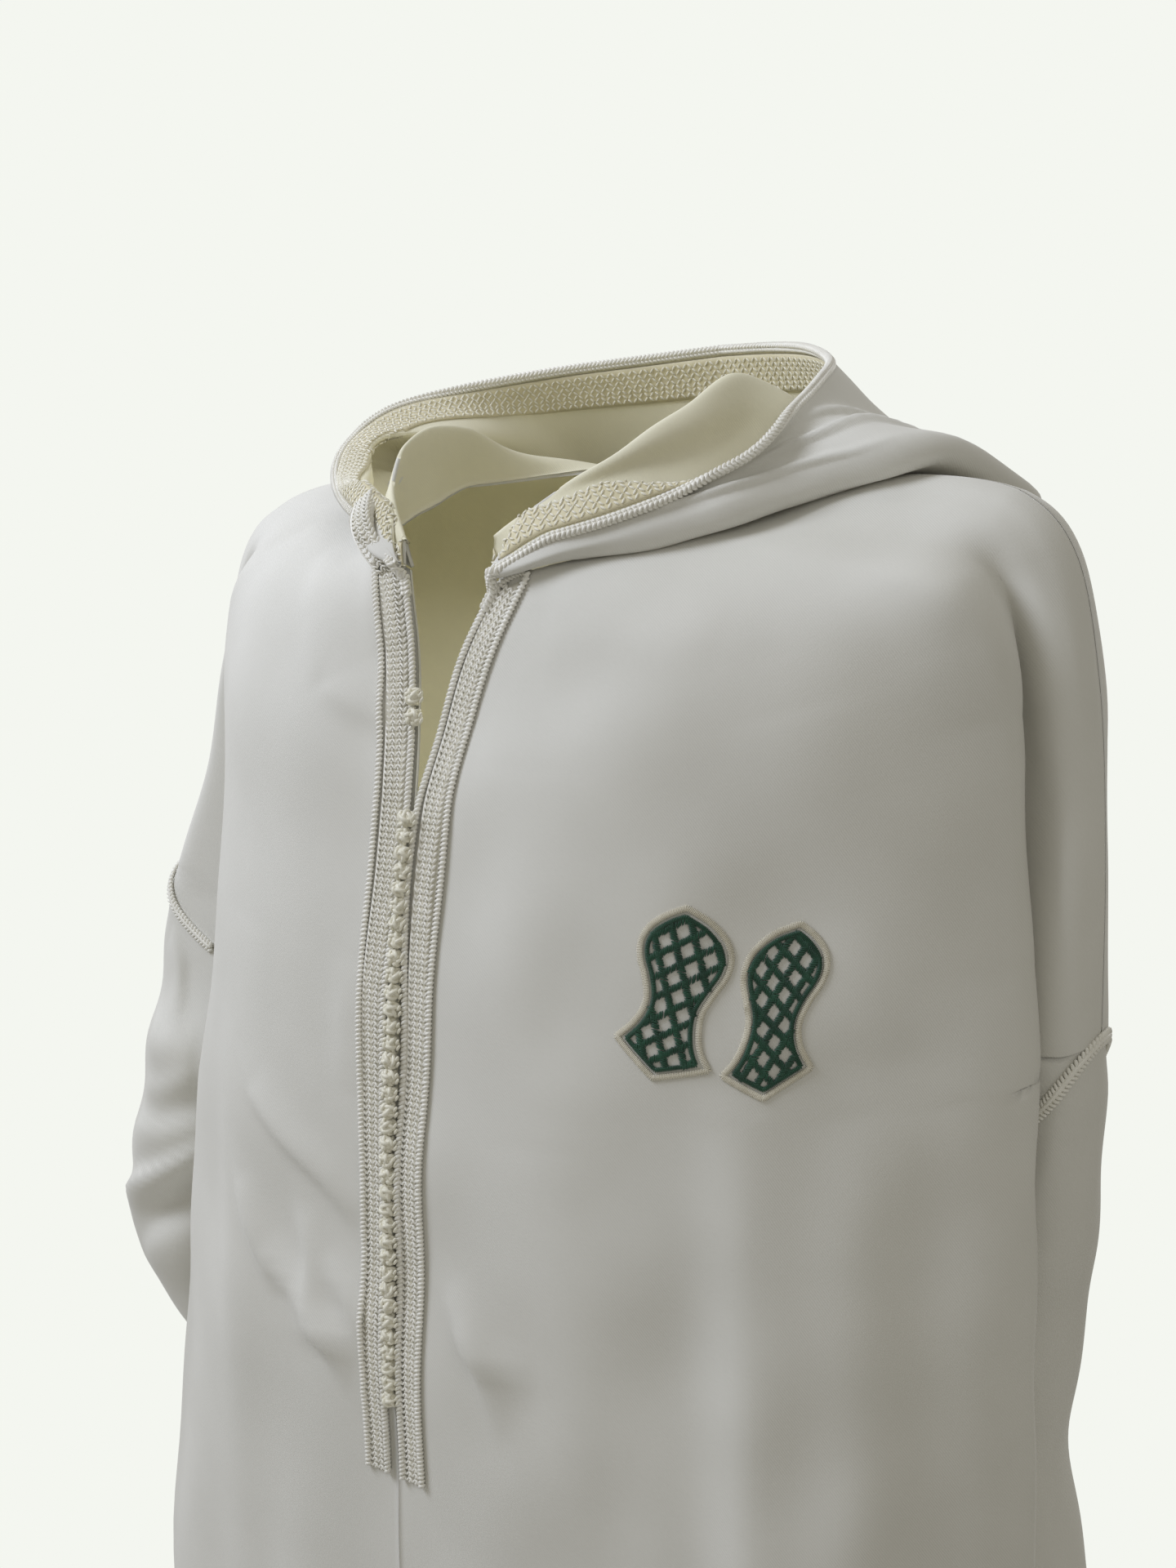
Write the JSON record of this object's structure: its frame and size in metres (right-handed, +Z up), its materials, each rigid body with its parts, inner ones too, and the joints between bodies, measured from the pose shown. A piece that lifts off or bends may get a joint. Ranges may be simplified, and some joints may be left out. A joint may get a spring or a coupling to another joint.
{
  "type": "djellaba robe",
  "caption": "Long hollow wool robe with a folded down pointed hood, wide sleeves, a braided front opening with ball knots and an embroidered chest.",
  "frame": {"origin": "centre of the neck base, at the level where the robe rests on the wearer's shoulders", "axes": "+Z up along the length of the robe, the front faces -Y, the robe's own left is +X"},
  "size_m": [0.6484, 0.3678, 1.4703],
  "materials": {
    "wool_cloth": "matte, brushed twill",
    "silver_braid": "silky thread",
    "green_thread": "satin stitch thread"
  },
  "bodies": {
    "root": {"front_left": "wool_cloth", "front_right": "wool_cloth", "back": "wool_cloth", "sleeve_left": "wool_cloth", "sleeve_right": "wool_cloth", "hood": "wool_cloth", "band_left": "silver_braid", "band_right": "silver_braid", "band_hood": "silver_braid", "cord_inner_left": "silver_braid", "cord_inner_right": "silver_braid", "cord_outer_left": "silver_braid", "cord_outer_right": "silver_braid", "cord_hood": "silver_braid", "braid_left": "silver_braid", "braid_right": "silver_braid", "knot_01": "silver_braid", "knot_02": "silver_braid", "knot_03": "silver_braid", "knot_04": "silver_braid", "knot_05": "silver_braid", "knot_06": "silver_braid", "knot_07": "silver_braid", "knot_08": "silver_braid", "knot_09": "silver_braid", "knot_10": "silver_braid", "knot_11": "silver_braid", "knot_12": "silver_braid", "knot_13": "silver_braid", "knot_14": "silver_braid", "knot_15": "silver_braid", "knot_16": "silver_braid", "knot_17": "silver_braid", "knot_18": "silver_braid", "knot_19": "silver_braid", "knot_20": "silver_braid", "knot_21": "silver_braid", "knot_22": "silver_braid", "knot_23": "silver_braid", "knot_24": "silver_braid", "knot_25": "silver_braid", "knot_26": "silver_braid", "knot_27": "silver_braid", "knot_28": "silver_braid", "knot_29": "silver_braid", "knot_30": "silver_braid", "knot_31": "silver_braid", "knot_32": "silver_braid", "knot_33": "silver_braid", "knot_34": "silver_braid", "knot_35": "silver_braid", "knot_36": "silver_braid", "knot_37": "silver_braid", "knot_38": "silver_braid", "patch_inner": "green_thread", "patch_outer": "green_thread"}
  },
  "joints": []
}
